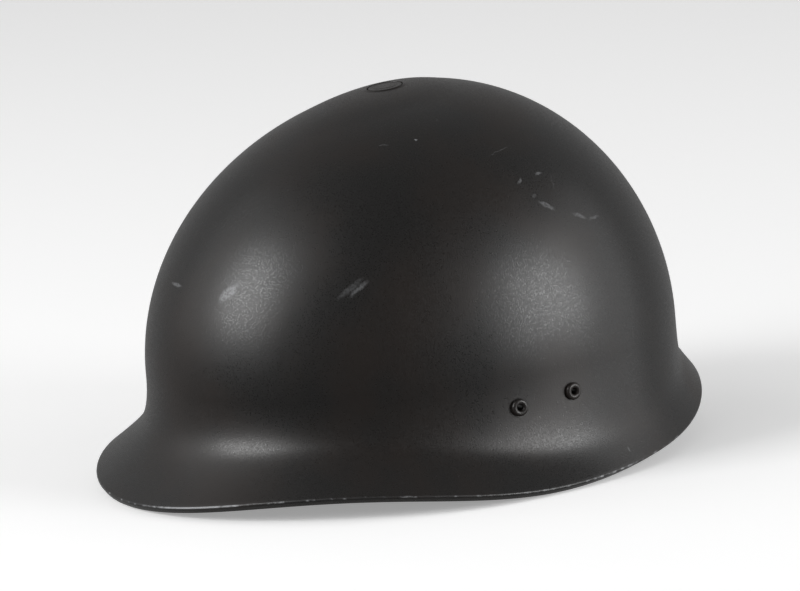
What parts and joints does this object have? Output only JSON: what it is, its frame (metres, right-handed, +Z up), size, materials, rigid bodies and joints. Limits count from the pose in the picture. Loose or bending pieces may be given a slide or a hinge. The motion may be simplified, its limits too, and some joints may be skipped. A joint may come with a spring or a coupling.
{
  "type": "combat helmet shell",
  "caption": "Hard one-piece combat helmet shell with a small visor, a flared brim, a flush disc at the top and hollow rivets low on each side.",
  "frame": {"origin": "middle of the bottom of the whole helmet's box, on the surface that it stands on", "axes": "+Z up, -Y towards the visor, +X towards the wearer's left"},
  "size_m": [0.2244, 0.2682, 0.1573],
  "materials": {
    "painted_shell": "satin",
    "painted_disc": "satin",
    "painted_rivet": "satin"
  },
  "bodies": {
    "root": {"shell": "painted_shell", "crown_disc": "painted_disc", "rivet_left_front": "painted_rivet", "rivet_left_rear": "painted_rivet", "rivet_right_front": "painted_rivet", "rivet_right_rear": "painted_rivet"}
  },
  "joints": []
}
